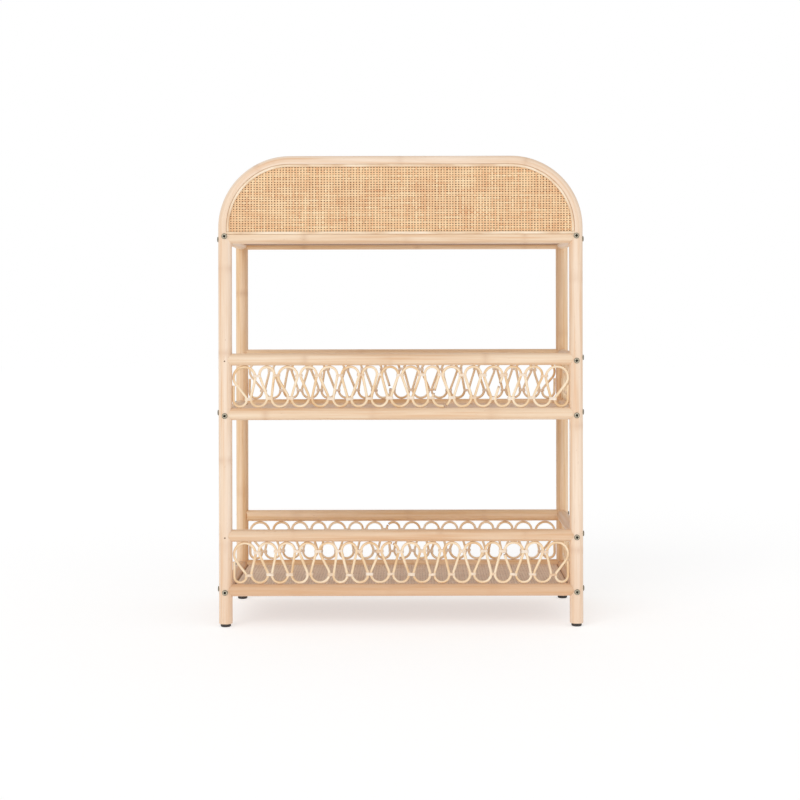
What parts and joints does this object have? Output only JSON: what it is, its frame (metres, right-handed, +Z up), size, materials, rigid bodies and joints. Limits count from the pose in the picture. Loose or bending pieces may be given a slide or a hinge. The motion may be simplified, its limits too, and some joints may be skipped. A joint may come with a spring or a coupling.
{
  "type": "shoe rack",
  "caption": "Open rattan shoe rack: bent pole hoop front with a cane arch panel, woven shelves and looped cane galleries on three sides of the lower tiers.",
  "frame": {"origin": "on the floor, under the middle of the rack", "axes": "+X to the right seen from the front, +Y from the front hoop to the back posts, +Z up"},
  "size_m": [0.779, 0.354, 1],
  "materials": {
    "hoop_pole": "satin peeled rattan pole, pale cream with fine lengthwise streaks and faint node rings",
    "rail_pole": "satin peeled rattan pole, cream to light tan with lengthwise streaks",
    "back_pole": "satin peeled rattan pole, a little browner",
    "strand_core": "smooth matt rattan core, pale cream",
    "tie_binding": "glossy flat cane binding, pale",
    "arch_cane": "close woven cane webbing, warm tan with dark holes",
    "shelf_cane": "close woven cane webbing, slightly pinkish tan",
    "bead_core": "smooth matt rattan core bead, near white",
    "plywood": "sanded plywood",
    "foot_rubber": "matt dark grey rubber",
    "screw_steel": "dull zinc-plated steel, dark in the slots",
    "nail_steel": "dull bare steel"
  },
  "bodies": {
    "root": {"front_hoop": "hoop_pole", "back_post_left": "back_pole", "back_post_right": "back_pole", "front_rail_bottom_lower": "rail_pole", "front_rail_bottom_upper": "rail_pole", "front_rail_middle_lower": "rail_pole", "front_rail_middle_upper": "rail_pole", "front_rail_top": "rail_pole", "back_rail_bottom_lower": "back_pole", "back_rail_bottom_upper": "back_pole", "back_rail_middle_lower": "back_pole", "back_rail_middle_upper": "back_pole", "back_rail_top": "back_pole", "left_rail_bottom_lower": "rail_pole", "left_rail_middle_lower": "rail_pole", "left_rail_top": "rail_pole", "right_rail_bottom_lower": "rail_pole", "right_rail_bottom_upper": "rail_pole", "right_rail_middle_lower": "rail_pole", "right_rail_middle_upper": "rail_pole", "right_rail_top": "rail_pole", "foot_front_left": "foot_rubber", "foot_front_right": "foot_rubber", "foot_back_left": "foot_rubber", "foot_back_right": "foot_rubber", "shelf_board_bottom": "plywood", "shelf_board_middle": "plywood", "shelf_board_top": "plywood", "shelf_webbing_bottom": "shelf_cane", "shelf_webbing_middle": "shelf_cane", "shelf_webbing_top": "shelf_cane", "arch_backing": "plywood", "arch_webbing": "arch_cane", "arch_bead": "bead_core", "arch_bead_lower": "bead_core", "front_gallery_bottom": "strand_core", "front_gallery_middle": "strand_core", "back_gallery_bottom": "strand_core", "back_gallery_middle": "strand_core", "right_gallery_bottom": "strand_core", "right_gallery_middle": "strand_core", "front_ties_bottom": "tie_binding", "front_ties_middle": "tie_binding", "back_ties_bottom": "tie_binding", "back_ties_middle": "tie_binding", "right_ties_bottom": "tie_binding", "right_ties_middle": "tie_binding", "screws_front": "screw_steel", "screws_back": "screw_steel", "screws_left": "screw_steel", "screws_right": "screw_steel", "nails_left": "nail_steel"}
  },
  "joints": []
}
